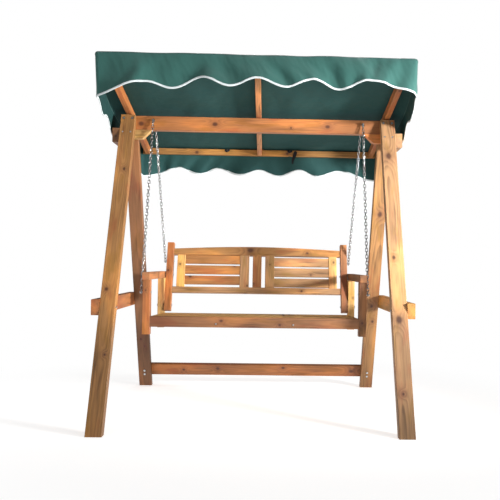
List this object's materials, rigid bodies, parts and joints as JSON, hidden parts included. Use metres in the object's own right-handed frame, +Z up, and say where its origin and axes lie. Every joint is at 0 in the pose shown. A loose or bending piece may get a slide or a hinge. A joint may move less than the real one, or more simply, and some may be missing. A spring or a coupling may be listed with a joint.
{
  "type": "garden swing bench",
  "caption": "Free-standing timber A-frame swing bench: a slatted bench on chains under a sloping fabric canopy with a scalloped edge.",
  "frame": {"origin": "on the ground, at the middle of the stand's footprint", "axes": "+Z up, -Y towards the front of the bench, +X to the right seen from the front"},
  "size_m": [1.662, 1.2512, 1.836],
  "materials": {
    "stand_timber": "oiled softwood, warm brown, satin",
    "bench_timber": "oiled softwood, reddish brown, satin",
    "canopy_timber": "oiled softwood, light brown, satin",
    "canopy_cloth": "woven polyester, matte",
    "strap_webbing": "woven webbing, matte",
    "zinc_steel": "bright zinc-plated steel"
  },
  "bodies": {
    "stand": {"leg_front_left": "stand_timber", "leg_front_right": "stand_timber", "leg_rear_left": "stand_timber", "leg_rear_right": "stand_timber", "top_beam": "stand_timber", "corner_block_left": "stand_timber", "corner_block_right": "stand_timber", "apex_plate_left": "stand_timber", "apex_plate_right": "stand_timber", "side_rail_left": "stand_timber", "side_rail_right": "stand_timber", "rear_stretcher": "stand_timber", "rafter_left": "canopy_timber", "rafter_middle": "canopy_timber", "rafter_right": "canopy_timber", "canopy_rail_front": "canopy_timber", "canopy_rail_rear": "canopy_timber", "canopy_roof": "canopy_cloth", "canopy_valance_front": "canopy_cloth", "canopy_valance_rear": "canopy_cloth", "canopy_valance_left": "canopy_cloth", "canopy_valance_right": "canopy_cloth", "tie_straps": "strap_webbing", "apex_bolts": "zinc_steel", "side_rail_bolts": "zinc_steel", "stretcher_bolts": "zinc_steel", "frame_screws": "zinc_steel", "hanger_bolts": "zinc_steel"},
    "front_chains": {"chain_front_left": "zinc_steel", "chain_front_right": "zinc_steel"},
    "bench": {"arm_post_front_left": "bench_timber", "arm_post_front_right": "bench_timber", "arm_post_rear_left": "bench_timber", "arm_post_rear_right": "bench_timber", "armrest_left": "bench_timber", "armrest_right": "bench_timber", "back_post_left": "bench_timber", "back_post_right": "bench_timber", "back_rail_upper": "bench_timber", "back_rail_lower": "bench_timber", "stile_outer_left": "bench_timber", "stile_inner_left": "bench_timber", "stile_inner_right": "bench_timber", "stile_outer_right": "bench_timber", "middle_slat": "bench_timber", "back_slats_left": "bench_timber", "back_slats_right": "bench_timber", "seat_rail_front": "bench_timber", "seat_rail_rear": "bench_timber", "seat_rail_left": "bench_timber", "seat_rail_right": "bench_timber", "seat_bearer_left": "bench_timber", "seat_bearer_right": "bench_timber", "seat_slats": "bench_timber", "chain_bolts": "zinc_steel", "bench_bolts": "zinc_steel", "bench_screws": "zinc_steel"},
    "rear_chains": {"chain_rear_left": "zinc_steel", "chain_rear_right": "zinc_steel"}
  },
  "joints": [
    {"name": "swing", "type": "hinge", "parent": "stand", "child": "front_chains", "pos_m": [0, -0.034, 1.633], "axis": [1, 0, 0], "range_deg": [-15, 15]},
    {"name": "bench_rock", "type": "hinge", "parent": "front_chains", "child": "bench", "pos_m": [0, -0.254, 0.664], "axis": [1, 0, 0], "range_deg": [-3, 3]},
    {"name": "rear_chain_swing", "type": "hinge", "parent": "stand", "child": "rear_chains", "pos_m": [0, 0.034, 1.633], "axis": [1, 0, 0], "range_deg": [-16, 16]}
  ],
  "couplings": [
    {"joint": "bench_rock", "follows": "swing", "ratio": -0.1232},
    {"joint": "rear_chain_swing", "follows": "swing", "ratio": 1.0257}
  ]
}
